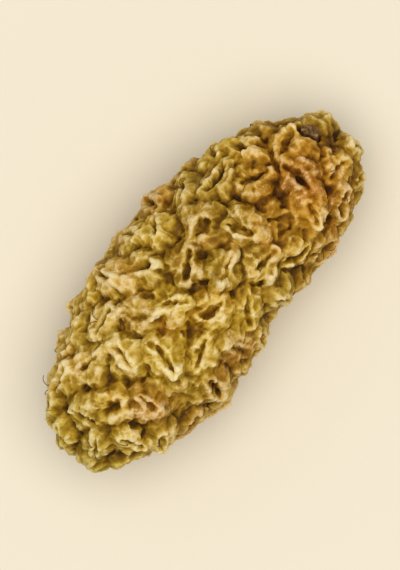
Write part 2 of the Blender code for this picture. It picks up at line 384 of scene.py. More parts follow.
# Dried mulberry flesh: thin, sugary fruit skin, shrunken by slow drying in the air. That gives the eye
# matte crests, pale with fine sugar, over folds that keep the brown juice, and crests that let a little
# light through. Its colour is also made darker in the folds and low between the drupelets, and paler on
# the crests: painted shade and painted light over those real tones. Sizes and places are in millimetres.
flesh = {
    # from the bottom of the folds to the top of the crests: the dark end is partly brown juice and partly
    # painted shade, the pale end partly sugar and partly painted light
    "ramp": [(0.00, "#3C2502"), (0.20, "#6B4B05"), (0.38, "#937113"), (0.55, "#B69533"),
             (0.72, "#D7BA62"), (1.00, "#F0DCA0")],
    "rampStart": -0.031,
    # what moves a point up the ramp, and how strongly: fold, crest and lift make painted shade in the
    # hollows and painted light on the tops, and the paler place towards the tip is painted light as well
    "rampBy": {"fold": 1.4, "crest": 3.0, "lift": 0.28, "mottle": 0.20, "wrinkles": 0.07,
               "patches": 0.34, "palerShare": 0.13},
    # size of a blotch, detail, distortion
    "noises": {
        "patches": (3.2, 2.0, 0.4),
        "otherPatches": (3.2, 2.0, 0.4),
        "mottle": (0.70, 3.0, 0.0),
        "sheen": (1.19, 2.0, 0.0),
        "flecks": (0.42, 1.0, 0.5),
        "powder": (0.112, 2.0, 0.0),
        "fibres": (0.16, 3.0, 1.2),
        "grain": (0.07, 2.0, 0.0),  # the real one is finer and wouldn't show
    },
    "otherPatchesAway": (7.3, 1.9, 4.1),  # from the patches, in the same noise
    "wrinkleSize": 0.42,
    "brownedPlace": (6.9, -0.6, 6.4),  # on top, towards the stalk
    # the paler place is painted light: a brighter patch on the top towards the tip, as if more light fell
    # there
    "palerPlace": (-3.7, 1.5, 6.2),  # on top, towards the tip
    "paintedLightReach": (4.0, 1.2),  # from where it starts to where it is full
    "waver": {"browned": -3.6, "paler": -3.6, "unripe": 4.0},  # how far the other patches move a border
    # tints laid on the ramp one after the other: the mark that each follows, where on it the tint starts
    # and where it is full, its greatest share, how it blends, and its colour
    "tints": [
        ("patches", 0.48, 0.72, 0.55, "MULTIPLY", "#F4CE94"),  # amber
        ("otherPatches", 0.50, 0.70, 0.60, "MULTIPLY", "#E8E7B4"),  # olive
        ("tone", 0.55, 1.00, 0.30, "SOFT_LIGHT", "#F4E6B8"),  # the younger drupelets
        ("tone", 0.40, 0.00, 0.45, "MULTIPLY", "#DDBE80"),  # the older ones
        ("browned", 4.8, 0.4, 0.70, "MULTIPLY", "#F3C27A"),
        ("unripe", -6.5, -10.0, 0.60, "MULTIPLY", "#DDE3A0"),  # along X, greener towards the tip
        ("flecks", 0.68, 0.76, 0.55, "MIX", "#5A3408"),
        ("dust", 1.45, 1.85, 0.45, "MIX", "#F2E3BC"),  # fine sugar dried out on the crests
    ],
    "dustBy": {"powder": 1.0, "mottle": 0.8, "height": 0.9},
    "roughness": (0.48, 0.74),  # at the two ends of the sheen
    "sheenRange": (0.3, 0.7),
    "specular": 0.18,
    "reliefBy": {"grain": 0.30, "fibres": 0.55, "wrinkles": 0.60},
    "reliefDepth": 0.055,
    "lightShare": 0.16,  # of what comes back, how much went through the flesh
    "lightReach": 0.35,
    "lightReachRgb": (1.0, 0.50, 0.16),  # shares of that reach
}


def fleshMaterial():
    material, tree, inMillimetres = newMaterial("driedMulberryFlesh")
    otherPlace = addNode(tree, "ShaderNodeVectorMath", "ADD",
                         {0: inMillimetres, 1: flesh["otherPatchesAway"]})

    # marks: what the colours and the relief follow
    marks = {}
    for name in ("fold", "crest", "tone"):
        marks[name] = (addNode(tree, "ShaderNodeAttribute", {"attribute_name": name}), "Fac")
    local = addNode(tree, "ShaderNodeAttribute", {"attribute_name": "local"})
    # lift: how high a point stands on its drupelet; the ramp uses it, with fold and crest, for painted
    # shade low down and painted light on top
    marks["lift"] = (addNode(tree, "ShaderNodeSeparateXYZ", {}, {"Vector": (local, "Vector")}), "Z")
    for name, (size, detail, distortion) in flesh["noises"].items():
        marks[name] = (addNode(tree, "ShaderNodeTexNoise", {}, {
            "Vector": otherPlace if name == "otherPatches" else inMillimetres,
            "Scale": 1 / size, "Detail": detail, "Distortion": distortion}), "Fac")
    marks["wrinkles"] = (addNode(tree, "ShaderNodeTexNoise", {"noise_type": "RIDGED_MULTIFRACTAL"}, {
        "Vector": inMillimetres, "Scale": 1 / flesh["wrinkleSize"], "Detail": 3.0, "Roughness": 0.55,
        "Lacunarity": 2.1, "Offset": 0.9, "Gain": 1.6, "Distortion": 0.25}), "Fac")
    marks["unripe"] = (addNode(tree, "ShaderNodeSeparateXYZ", {}, {"Vector": inMillimetres}), "X")
    for name in ("browned", "paler"):
        marks[name] = (addNode(tree, "ShaderNodeVectorMath", "DISTANCE",
                               {0: inMillimetres, 1: flesh[name + "Place"]}), "Value")
    for name, waver in flesh["waver"].items():
        moved = addNode(tree, "ShaderNodeMath", "MULTIPLY_ADD",
                        {0: marks["otherPatches"], 1: waver, 2: marks[name]})
        marks[name] = addNode(tree, "ShaderNodeMath", "SUBTRACT", {0: moved, 1: waver / 2})
    # the paler place, a pool of painted light, fades in from its edge
    marks["palerShare"] = addNode(tree, "ShaderNodeMapRange", {"interpolation_type": "SMOOTHSTEP"}, {
        "Value": marks["paler"], "From Min": flesh["paintedLightReach"][0], "From Max": flesh["paintedLightReach"][1]})
    for name, start, weights in (("height", flesh["rampStart"], flesh["rampBy"]),
                                 ("dust", 0.0, flesh["dustBy"]), ("relief", 0.0, flesh["reliefBy"])):
        marks[name] = start
        for mark, weight in weights.items():
            marks[name] = addNode(tree, "ShaderNodeMath", "MULTIPLY_ADD",
                                  {0: marks[mark], 1: weight, 2: marks[name]})

    # the ramp paints shade into the folds and light onto the crests, over the flesh's own tones
    colour = addNode(tree, "ShaderNodeValToRGB", {"stops": flesh["ramp"]}, {"Fac": marks["height"]})
    for mark, start, full, most, blending, tint in flesh["tints"]:
        share = addNode(tree, "ShaderNodeMapRange", {"interpolation_type": "SMOOTHSTEP"}, {
            "Value": marks[mark], "From Min": start, "From Max": full, "To Max": most})
        colour = addNode(tree, "ShaderNodeMix", {"data_type": "RGBA", "blend_type": blending},
                         {"A": colour, "B": tint, "Factor": share})
    roughness = addNode(tree, "ShaderNodeMapRange", {}, {
        "Value": marks["sheen"],
        "From Min": flesh["sheenRange"][0], "From Max": flesh["sheenRange"][1],
        "To Min": flesh["roughness"][0], "To Max": flesh["roughness"][1]})
    bump = addNode(tree, "ShaderNodeBump", {}, {
        "Height": marks["relief"], "Strength": 1.0, "Distance": flesh["reliefDepth"] / perMetre})
    skinShader = addNode(tree, "ShaderNodeBsdfPrincipled", {}, {
        "Base Color": colour, "Roughness": roughness, "IOR": 1.45, "Specular IOR Level": flesh["specular"],
        "Subsurface Weight": flesh["lightShare"], "Subsurface Radius": flesh["lightReachRgb"],
        "Subsurface Scale": flesh["lightReach"] / perMetre, "Normal": bump})
    addNode(tree, "ShaderNodeOutputMaterial", {}, {"Surface": skinShader})
    return material


fleshSkin = fleshMaterial()


# One drupelet, in shares of its own radius and rise: a swelling over its seed, wrapped in four dried
# tepals that leave a slit between their raised edges. Each pair in round brackets is the least and the
# most of what a drupelet draws.
drupelet = {
    "kinds": 12,
    "sides": 44,
    "rings": 18,
    "ringSpacing": 0.85,  # under 1 brings the rings nearer the rim
    "lengthening": 1.10,  # along the slit
    "narrowing": 0.94,
    "swelling": 0.74,
    "fullness": 3.6,  # higher is flatter on top
    "slitLength": (0.46, 0.70),  # half of it, as the width below
    "slitWidth": (0.015, 0.13),  # from closed to open drupelets
    "slitDepth": (0.20, 0.44),
    "slitEdge": 0.045,
    "slitBend": 0.40,
    "slitBendMiddle": 0.12,
    "slitShift": 0.13,
    "lipHeight": (0.08, 0.27),
    "lipWidth": (0.09, 0.15),
    "lipGap": 0.07,  # from the slit to the lip
    "lipReach": 0.84,  # along the slit
    "lipBow": 0.80,
    "lipFade": 5.0,  # how steeply the lips run out at the rim
    "overlap": 0.10,  # of one lip over the other
    "overlapWidth": 0.12,
    "overlapReach": 0.70,
    "knob": 0.80,  # where two lips meet, as a share of a lip's height
    "knobGap": 0.06,
    "knobLength": 0.11,
    "knobWidth": 0.24,
    "outerFold": (0.00, 0.15),
    "outerFoldGap": 0.34,  # from the lip to the fold outside it
    "outerFoldJitter": 0.06,
    "outerFoldWidth": 0.09,
    "collapse": (0.00, 0.22),  # how deep the middle sank
    "collapseReach": 0.55,
    "grooveAngle": math.radians(40),  # between the outer and the inner tepals, from the slit's line
    "grooveJitter": math.radians(14),
    "grooveDepth": (0.06, 0.26),
    "grooveWidth": 0.16,  # radians
    "grooveRise": 2.2,  # how steeply they deepen outwards
    "grooveStart": 0.7,  # divided by that, the share of the radius where they begin
    "grooveFade": 6.0,  # how steeply they run out at the rim
    "groovePinch": 0.25,  # how much the grooves draw in the rim
    "lobes": 0.05,  # of the rim, one for each tepal
    "rim": 1.02,  # where its relief has run out
    "frill": 0.030,  # height of the waves near the rim
    "frillWaves": [7, 8, 9, 11],  # one of these, round it
    "rootShares": [0.98, 0.82],  # of the rim, for the two rings that end it inside the berry
    "rootDepths": [0.5, 1.3],
    "seed": 31,
}

# How the drupelets vary, and how the berry shrank round them
growth = {
    "tiltJitter": math.radians(9),
    "turnJitter": math.radians(20),
    "sizeJitter": 0.12,
    "warpSize": 1.7,  # millimetres, as the four below
    "warp": 0.75,
    "crumpleSize": 0.60,
    "crumple": 0.20,
    "voxel": 0.058,
    "coreSink": 0.86,  # under the drupelets' tops, as a share of their rise
    "coreRings": 40,
    "coreSides": 56,
    "seed": 3,
}


def bell(value, width):
    return np.exp(-((value / width) ** 2))


def arch(value, reach):
    return np.sqrt(np.clip(1 - (value / reach) ** 2, 0, 1))


def plateau(value, reach):
    return np.clip(1 - (value / reach) ** 4, 0, 1)


def drupeletForm(rng):
    # rows of points from the middle out to the rim, columns round the drupelet
    chosen = {name: rng.uniform(*value) for name, value in drupelet.items() if isinstance(value, tuple)}
    slitReach, slitOpen, lipWidth = chosen["slitLength"], chosen["slitWidth"], chosen["lipWidth"]
    shares = np.linspace(0, 1, drupelet["rings"])[1:, None] ** drupelet["ringSpacing"]
    turns = (math.tau * np.arange(drupelet["sides"]) / drupelet["sides"])[None, :]
    x, y = shares * np.cos(turns), shares * np.sin(turns)
    inside = drupelet["rim"] - shares
    height = drupelet["swelling"] * (1 - shares ** drupelet["fullness"])
    height = height - chosen["collapse"] * bell(shares, drupelet["collapseReach"])

    # the slit, a little off the middle and bent
    alongSlit = x - rng.uniform(-1, 1) * drupelet["slitShift"]
    offSlit = y - rng.uniform(-1, 1) * drupelet["slitShift"]
    bend = rng.uniform(-1, 1) * drupelet["slitBend"]
    offSlit = offSlit - bend * (alongSlit ** 2 - drupelet["slitBendMiddle"])
    width = slitOpen * arch(alongSlit, slitReach)
    slit = chosen["slitDepth"] * bell(offSlit, width + drupelet["slitEdge"])
    slit = slit * plateau(alongSlit, slitReach)

    # on both sides of it a lip and the fold outside that, and at both ends a knob
    fade = plateau(alongSlit, drupelet["lipReach"]) * np.clip(inside * drupelet["lipFade"], 0, 1)
    foldLeast = drupelet["outerFoldGap"] - drupelet["outerFoldJitter"]
    foldMost = drupelet["outerFoldGap"] + drupelet["outerFoldJitter"]
    for side in (-1, 1):
        lipAt = width + drupelet["lipGap"] + lipWidth * arch(alongSlit, drupelet["lipBow"])
        offLip = side * offSlit - lipAt
        lip = rng.uniform(*drupelet["lipHeight"]) * bell(offLip, lipWidth)
        foldHeight = rng.uniform(*drupelet["outerFold"])
        fold = foldHeight * bell(offLip - rng.uniform(foldLeast, foldMost), drupelet["outerFoldWidth"])
        knob = rng.uniform(*drupelet["lipHeight"])
        knob = knob * bell(side * alongSlit - slitReach - drupelet["knobGap"], drupelet["knobLength"])
        knob = knob * bell(offSlit, drupelet["knobWidth"])
        height = height + (lip + fold) * fade + drupelet["knob"] * knob
    step = rng.uniform(-1, 1) * drupelet["overlap"] * np.tanh(offSlit / drupelet["overlapWidth"])
    height = height + step * bell(shares, drupelet["overlapReach"]) - slit

    # the four grooves between the tepals, and waves near the rim
    grooves = 0
    for half in (0.0, math.pi):
        for angle in (drupelet["grooveAngle"] + half, math.pi - drupelet["grooveAngle"] + half):
            angle = angle + rng.uniform(-1, 1) * drupelet["grooveJitter"]
            away = (turns - angle + math.pi) % math.tau - math.pi
            grooves = grooves + rng.uniform(*drupelet["grooveDepth"]) * bell(away, drupelet["grooveWidth"])
    between = np.clip(shares * drupelet["grooveRise"] - drupelet["grooveStart"], 0, 1)
    between = between * np.clip(inside * drupelet["grooveFade"], 0, 1)
    waves = np.sin(rng.choice(drupelet["frillWaves"]) * turns + rng.uniform(0, math.tau))
    waves = drupelet["frill"] * waves * np.clip(shares * 3 - 1, 0, 1)  # from a third of the way out
    height = height - grooves * between + waves
    outline = 1 + drupelet["lobes"] * np.cos(4 * turns) - drupelet["groovePinch"] * grooves
    return x * outline * drupelet["lengthening"], y * outline * drupelet["narrowing"], height


def drupeletMesh(rng):
    x, y, height = drupeletForm(rng)
    rings = list(np.stack([x, y, height], axis=2))
    for share, depth in zip(drupelet["rootShares"], drupelet["rootDepths"]):
        rings.append(np.stack([x[-1] * share, y[-1] * share, np.full(x.shape[1], -depth)], axis=1))
    middle = (0, 0, float(height[0].mean()))
    points = [middle] + [tuple(point) for ring in rings for point in ring]
    sides = drupelet["sides"]
    faces = [(0, 1 + side, 1 + (side + 1) % sides) for side in range(sides)]
    for ring in range(len(rings) - 1):
        near, far = 1 + sides * ring, 1 + sides * (ring + 1)
        for side in range(sides):
            after = (side + 1) % sides
            faces.append((near + side, far + side, far + after, near + after))
    faces.append([far + side for side in range(sides)][::-1])
    return newMesh("drupelet", points, faces)


def coreMesh():
    # the short core that the drupelets grow from
    sink = spiral["rise"] * growth["coreSink"]
    rings, sides = growth["coreRings"], growth["coreSides"]
    shape = bmesh.new()
    tip = shape.verts.new(bodyPoint(0.0, 0.0, sink) + Vector(shift))
    end = shape.verts.new(bodyPoint(math.pi, 0.0, sink) + Vector(shift))
    loops = []
    for ring in range(1, rings):
        angles = [math.tau * side / sides for side in range(sides)]
        points = [bodyPoint(math.pi * ring / rings, angle, sink) + Vector(shift) for angle in angles]
        loops.append([shape.verts.new(point) for point in points])
    for side in range(sides):
        after = (side + 1) % sides
        shape.faces.new((tip, loops[0][side], loops[0][after]))
        shape.faces.new((end, loops[-1][after], loops[-1][side]))
        for near, far in zip(loops, loops[1:]):
            shape.faces.new((near[side], far[side], far[after], near[after]))
    bmesh.ops.recalc_face_normals(shape, faces=shape.faces[:])
    mesh = bpy.data.meshes.new("core")
    shape.to_mesh(mesh)
    shape.free()
    return mesh


# The hollow that the flesh leaves round the end of the stalk
hollow = {
    # millimetres along the stalk from its end, and radius
    "steps": [(-0.95, 0.50), (-0.55, 0.60), (0.0, 0.68), (0.45, 0.98), (2.2, 1.35)],
    "sides": 40,
    "unevenness": 0.07,
    "waves": (5, 2),  # round it
}


def onStalk(height):
    # the point at that height on the stalk's line, from the level of the seats, and the stalk's frame
    up, tipward = outward(stalk["place"], stalk["angle"], spiral["rise"])
    point = bodyPoint(stalk["place"], stalk["angle"], spiral["rise"]) + up * height + Vector(shift)
    return point, seatFrame(up, tipward, 0.0)


def hollowMesh():
    end, stalkFrame = onStalk(stalk["length"] - stalk["sunk"])
    fine, coarse = hollow["waves"]
    points = []
    for number, (height, radius) in enumerate(hollow["steps"]):
        for side in range(hollow["sides"]):
            turn = math.tau * side / hollow["sides"]
            wave = math.sin(fine * turn + number) * math.cos(coarse * turn)
            uneven = radius * (1 + hollow["unevenness"] * wave)
            offset = Vector((uneven * math.cos(turn), uneven * math.sin(turn), height))
            points.append(end + stalkFrame @ offset)
    return newMesh("hollow", points, tubeFaces(len(hollow["steps"]), hollow["sides"]))


def seatPoints():
    # one vertex for each drupelet, with its frame and its size
    mesh = newMesh("seats", [seat["middle"] for seat in seats], [])
    turns = mesh.attributes.new("seatTurn", "QUATERNION", "POINT")
    turns.data.foreach_set("value", [v for seat in seats for v in seat["frame"].to_quaternion()])
    sizes = mesh.attributes.new("seatSize", "FLOAT_VECTOR", "POINT")
    names = ("radius", "radius", "rise")
    sizes.data.foreach_set("vector", [seat[name] for seat in seats for name in names])
    return mesh


def growTree(inputs):
    # a drupelet of one kind on each seat, leaning and sized a little at random, then warped, with the core
    tree, given = newTree("drupeletsOnSeats", inputs)
    turn, size = [
        addNode(tree, "GeometryNodeInputNamedAttribute", {"data_type": kind}, {"Name": name})
        for kind, name in (("QUATERNION", "seatTurn"), ("FLOAT_VECTOR", "seatSize"))]
    ends = []  # the least and the most of the angles and of the sizes
    for operation in ("SUBTRACT", "ADD"):
        tilt, spin, share = [
            addNode(tree, "ShaderNodeMath", operation, {0: middle, 1: (given, name)})
            for name, middle in (("Tilt Jitter", 0.0), ("Turn Jitter", 0.0), ("Size Jitter", 1.0))]
        ends.append([addNode(tree, "ShaderNodeCombineXYZ", {}, {"X": tilt, "Y": tilt, "Z": spin}),
                     addNode(tree, "ShaderNodeCombineXYZ", {}, {"X": share, "Y": share, "Z": share})])
    angles, grow = [
        addNode(tree, "FunctionNodeRandomValue", {"data_type": "FLOAT_VECTOR"},
                {"Min": least, "Max": most, "Seed": (given, "Seed")})
        for least, most in zip(*ends)]
    wobble = addNode(tree, "FunctionNodeEulerToRotation", {}, {"Euler": angles})
    placed = addNode(tree, "FunctionNodeRotateRotation", {"rotation_space": "LOCAL"},
                     {"Rotation": turn, "Rotate By": wobble})
    scaled = addNode(tree, "ShaderNodeVectorMath", "MULTIPLY", {0: size, 1: grow})
    kinds = addNode(tree, "GeometryNodeCollectionInfo", {"transform_space": "ORIGINAL"}, {
        "Collection": (given, "Kinds"), "Separate Children": True, "Reset Children": True})
    lastKind = addNode(tree, "ShaderNodeMath", "SUBTRACT", {0: (given, "Kind Count"), 1: 1.0})
    kind = addNode(tree, "FunctionNodeRandomValue", {"data_type": "INT"},
                   {"Min": 0, "Max": lastKind, "Seed": (given, "Seed")})
    grown = addNode(tree, "GeometryNodeInstanceOnPoints", {}, {
        "Points": (given, "Geometry"), "Instance": kinds, "Pick Instance": True, "Instance Index": kind,
        "Rotation": placed, "Scale": scaled})
    crumpled = addNode(tree, "GeometryNodeRealizeInstances", {}, {"Geometry": grown})
    for name in ("Warp", "Crumple"):
        offset = noiseOffset(tree, given, name, amount=(given, name), detail=1.5)
        crumpled = addNode(tree, "GeometryNodeSetPosition", {}, {"Geometry": crumpled, "Offset": offset})
    core = addNode(tree, "GeometryNodeObjectInfo", {"transform_space": "ORIGINAL"},
                   {"Object": (given, "Core")})
    whole = addNode(tree, "GeometryNodeJoinGeometry", {}, {"Geometry": [crumpled, (core, "Geometry")]})
    return endTree(tree, given, whole)


# Wrinkles of the dried skin, and the marks that its colour follows
skin = {
    "smoothing": 2,  # rounds, before the wrinkles
    "smoothingShare": 0.5,  # of the way to the mean of the neighbours
    "foldSize": 0.80,  # millimetres, as the sizes and heights below
    "foldHeight": 0.105,
    "radialWrinkles": 1.7,  # higher gives more of them round a drupelet
    "radialHeight": 0.070,
    "radialDrift": 0.7,  # how fast they change on their way out
    "radialSpread": 97.0,  # sets each drupelet's wrinkles apart from the others'
    "middleFade": (0.15, 0.5),  # shares of a drupelet's radius, from where there are none to all of them
    "borderFade": (0.35, 0.90),  # the same, as shares that blurring leaves of a place's radius
    "grainSize": 0.26,
    "grainHeight": 0.032,
    "sharpness": {"Fold": 1.5, "Radial": 1.3, "Grain": 1.0},
    "ridgeNarrowness": 4.4,  # higher gives narrower ones
    "ridgeMean": 0.45,  # taken off, so that the skin keeps its place
    "mostTriangles": 194000,
    "crestBlur": 10,
    "foldBlur": 110,
    "borderBlur": 8,  # between the marks of one drupelet and the next
    "seed": 11,
}


def seatMarkTree(inputs):
    # local: where a point is on its drupelet, in shares of its radius and rise; tone: a random value for
    # each drupelet
    tree, given = newTree("marksFromSeats", inputs)
    place = addNode(tree, "GeometryNodeInputPosition")
    seatsGiven = addNode(tree, "GeometryNodeObjectInfo", {"transform_space": "ORIGINAL"},
                         {"Object": (given, "Seats")})
    nearest = addNode(tree, "GeometryNodeSampleNearest", {}, {"Geometry": (seatsGiven, "Geometry")})
    sampled = []
    for kind, name in (
            ("FLOAT_VECTOR", "position"), ("QUATERNION", "seatTurn"), ("FLOAT_VECTOR", "seatSize")):
        value = addNode(tree, "GeometryNodeInputNamedAttribute", {"data_type": kind}, {"Name": name})
        sampled.append(addNode(tree, "GeometryNodeSampleIndex", {"data_type": kind}, {
            "Geometry": (seatsGiven, "Geometry"), "Value": value, "Index": nearest}))
    middle, turn, size = sampled
    away = addNode(tree, "ShaderNodeVectorMath", "SUBTRACT", {0: place, 1: middle})
    upright = addNode(tree, "FunctionNodeInvertRotation", {}, {"Rotation": turn})
    turned = addNode(tree, "FunctionNodeRotateVector", {}, {"Vector": away, "Rotation": upright})
    local = addNode(tree, "ShaderNodeVectorMath", "DIVIDE", {0: turned, 1: size})
    tone = addNode(tree, "FunctionNodeRandomValue", {"data_type": "FLOAT"},
                   {"ID": nearest, "Seed": (given, "Seed")})
    marked = (given, "Geometry")
    for kind, name, value in (("FLOAT_VECTOR", "local", local), ("FLOAT", "tone", tone)):
        marked = addNode(tree, "GeometryNodeStoreNamedAttribute", {"data_type": kind},
                         {"Geometry": marked, "Name": name, "Value": value})
    return endTree(tree, given, marked)


def wrinkleTree(inputs):
    # raises sharp folds: wandering ones, ones that run out from each drupelet's middle, and a fine grain
    tree, given = newTree("dryingWrinkles", inputs)
    place = addNode(tree, "GeometryNodeInputPosition")
    normal = addNode(tree, "GeometryNodeInputNormal")
    local, tone = [
        addNode(tree, "GeometryNodeInputNamedAttribute", {"data_type": kind}, {"Name": name})
        for kind, name in (("FLOAT_VECTOR", "local"), ("FLOAT", "tone"))]

    # a noise read by the direction from a drupelet's middle changes little outwards, so its ridges run out
    flat = addNode(tree, "ShaderNodeVectorMath", "MULTIPLY", {0: local, 1: (1.0, 1.0, 0.0)})
    direction = addNode(tree, "ShaderNodeVectorMath", "NORMALIZE", {0: flat})
    around = addNode(tree, "ShaderNodeVectorMath", "SCALE",
                     {0: direction, "Scale": (given, "Radial Wrinkles")})
    distance = addNode(tree, "ShaderNodeVectorMath", "LENGTH", {0: flat})
    own = addNode(tree, "ShaderNodeMath", "MULTIPLY", {0: tone, 1: skin["radialSpread"]})
    outwards = addNode(tree, "ShaderNodeMath", "MULTIPLY_ADD",
                       {0: (distance, "Value"), 1: skin["radialDrift"], 2: own})
    up = addNode(tree, "ShaderNodeCombineXYZ", {}, {"Z": outwards})
    radial = addNode(tree, "ShaderNodeVectorMath", "ADD", {0: around, 1: up})

    # they fade in the middle, and at the border with the next drupelet, where blurring shortens the place
    offTheMiddle = addNode(tree, "ShaderNodeMapRange", {}, {
        "Value": (distance, "Value"),
        "From Min": skin["middleFade"][0], "From Max": skin["middleFade"][1]})
    blurred = addNode(tree, "GeometryNodeBlurAttribute", {"data_type": "FLOAT_VECTOR"},
                      {"Value": flat, "Iterations": (given, "Border Blur")})
    evened = addNode(tree, "ShaderNodeVectorMath", "LENGTH", {0: blurred})
    kept = addNode(tree, "ShaderNodeMath", "DIVIDE", {0: (evened, "Value"), 1: (distance, "Value")})
    offTheBorder = addNode(tree, "ShaderNodeMapRange", {}, {
        "Value": kept, "From Min": skin["borderFade"][0], "From Max": skin["borderFade"][1],
        "To Max": offTheMiddle})

    raised = 0.0
    for kind, where in (("Fold", place), ("Radial", radial), ("Grain", place)):
        fineness, amount = 1.0, (given, kind + " Height")
        if kind == "Radial":
            amount = addNode(tree, "ShaderNodeMath", "MULTIPLY", {0: amount, 1: offTheBorder})
        else:
            fineness = addNode(tree, "ShaderNodeMath", "DIVIDE", {0: 1.0, 1: (given, kind + " Size")})
        noise = addNode(tree, "ShaderNodeTexNoise", {}, {
            "Vector": where, "Scale": fineness, "Detail": 1.0, "Distortion": 0.3})
        spread = addNode(tree, "ShaderNodeMath", "MULTIPLY_ADD",
                         {0: (noise, "Fac"), 1: skin["ridgeNarrowness"], 2: -skin["ridgeNarrowness"] / 2})
        far = addNode(tree, "ShaderNodeMath", "ABSOLUTE", {0: spread})
        near = addNode(tree, "ShaderNodeMath", {"operation": "SUBTRACT", "use_clamp": True},
                       {0: 1.0, 1: far})
        ridge = addNode(tree, "ShaderNodeMath", "POWER", {0: near, 1: skin["sharpness"][kind]})
        centred = addNode(tree, "ShaderNodeMath", "SUBTRACT", {0: ridge, 1: skin["ridgeMean"]})
        raised = addNode(tree, "ShaderNodeMath", "MULTIPLY_ADD", {0: centred, 1: amount, 2: raised})
    offset = addNode(tree, "ShaderNodeVectorMath", "SCALE", {0: normal, "Scale": raised})
    folded = addNode(tree, "GeometryNodeSetPosition", {},
                     {"Geometry": (given, "Geometry"), "Offset": offset})

    # what would reach under the floor lies flat on it
    above = addNode(tree, "ShaderNodeVectorMath", "MAXIMUM",
                    {0: place, 1: (-berry["length"], -berry["length"], 0.0)})
    resting = addNode(tree, "GeometryNodeSetPosition", {}, {"Geometry": folded, "Position": above})
    return endTree(tree, given, resting)


def reliefMarkTree(inputs):
    # crest and fold: how far the skin stands out of its surroundings, near by and wider; the flesh colour
    # turns them into painted shade in the folds and painted light on the crests
    tree, given = newTree("marksFromRelief", inputs)
    place = addNode(tree, "GeometryNodeInputPosition")
    normal = addNode(tree, "GeometryNodeInputNormal")
    marked = (given, "Geometry")
    for mark, spread in (("crest", "Crest Blur"), ("fold", "Fold Blur")):
        blurred = addNode(tree, "GeometryNodeBlurAttribute", {"data_type": "FLOAT_VECTOR"},
                          {"Value": place, "Iterations": (given, spread)})
        away = addNode(tree, "ShaderNodeVectorMath", "SUBTRACT", {0: place, 1: blurred})
        standing = addNode(tree, "ShaderNodeVectorMath", "DOT_PRODUCT", {0: away, 1: normal})
        marked = addNode(tree, "GeometryNodeStoreNamedAttribute", {"data_type": "FLOAT"},
                         {"Geometry": marked, "Name": mark, "Value": (standing, "Value")})
    for mark, kind in (("local", "FLOAT_VECTOR"), ("tone", "FLOAT")):
        sharp = addNode(tree, "GeometryNodeInputNamedAttribute", {"data_type": kind}, {"Name": mark})
        soft = addNode(tree, "GeometryNodeBlurAttribute", {"data_type": kind},
                       {"Value": sharp, "Iterations": (given, "Border Blur")})
        marked = addNode(tree, "GeometryNodeStoreNamedAttribute", {"data_type": kind},
                         {"Geometry": marked, "Name": mark, "Value": soft})
    return endTree(tree, given, marked)


def growFruit():
    rng = random.Random(drupelet["seed"])
    kinds = bpy.data.collections.new("drupeletKinds")
    for number in range(drupelet["kinds"]):
        kinds.objects.link(bpy.data.objects.new(f"drupelet{number}", drupeletMesh(rng)))
    core = newObject("core", coreMesh())
    stalkHollow = newObject("stalkHollow", hollowMesh())
    seatsOnly = newObject("seatsOnly", seatPoints())
    grower = newObject("grower", seatPoints())
    addTree(grower, growTree, {
        "Kinds": kinds, "Core": core, "Material": fleshSkin, "Kind Count": drupelet["kinds"],
        "Seed": growth["seed"], "Tilt Jitter": growth["tiltJitter"], "Turn Jitter": growth["turnJitter"],
        "Size Jitter": growth["sizeJitter"], "Warp Size": growth["warpSize"], "Warp": growth["warp"],
        "Crumple Size": growth["crumpleSize"], "Crumple": growth["crumple"]})
    fuse = grower.modifiers.new("fuse", "REMESH")
    carve = grower.modifiers.new("carve", "BOOLEAN")
    carve.object = stalkHollow
    carve.operation = "DIFFERENCE"
    carve.solver = "EXACT"
    even = grower.modifiers.new("even", "REMESH")
    for remesh in (fuse, even):
        remesh.mode = "VOXEL"
        remesh.voxel_size = growth["voxel"]
    soften = grower.modifiers.new("soften", "SMOOTH")
    soften.iterations = skin["smoothing"]
    soften.factor = skin["smoothingShare"]
    addTree(grower, seatMarkTree, {"Seats": seatsOnly, "Seed": skin["seed"], "Material": fleshSkin})
    addTree(grower, wrinkleTree, {
        "Material": fleshSkin, "Fold Size": skin["foldSize"], "Fold Height": skin["foldHeight"],
        "Radial Wrinkles": skin["radialWrinkles"], "Radial Height": skin["radialHeight"],
        "Grain Size": skin["grainSize"], "Grain Height": skin["grainHeight"],
        "Border Blur": skin["borderBlur"]})
    addTree(grower, reliefMarkTree, {
        "Crest Blur": skin["crestBlur"], "Fold Blur": skin["foldBlur"],
        "Border Blur": skin["borderBlur"], "Material": fleshSkin})
    dense = evaluatedMesh(grower, "driedMulberry")
    print("fruit fused:", len(dense.vertices), "points")
    grower.modifiers.clear()
    grower.data = dense
    thin = grower.modifiers.new("thin", "DECIMATE")
    thin.ratio = min(1.0, skin["mostTriangles"] / sum(len(face.vertices) - 2 for face in dense.polygons))
    mesh = evaluatedMesh(grower, "driedMulberry")
    for helper in [grower, core, seatsOnly, stalkHollow, *kinds.objects]:
        bpy.data.objects.remove(helper)
    bpy.data.collections.remove(kinds)
    return mesh


fruitMesh = growFruit()
print("fruit grown:", len(fruitMesh.vertices), "points,", len(fruitMesh.polygons), "faces")
fruitMesh.shade_smooth()
fruit = newObject("dried_mulberry", toMetres(fruitMesh))
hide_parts("mulberry_fruit")
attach(fruit, "root")


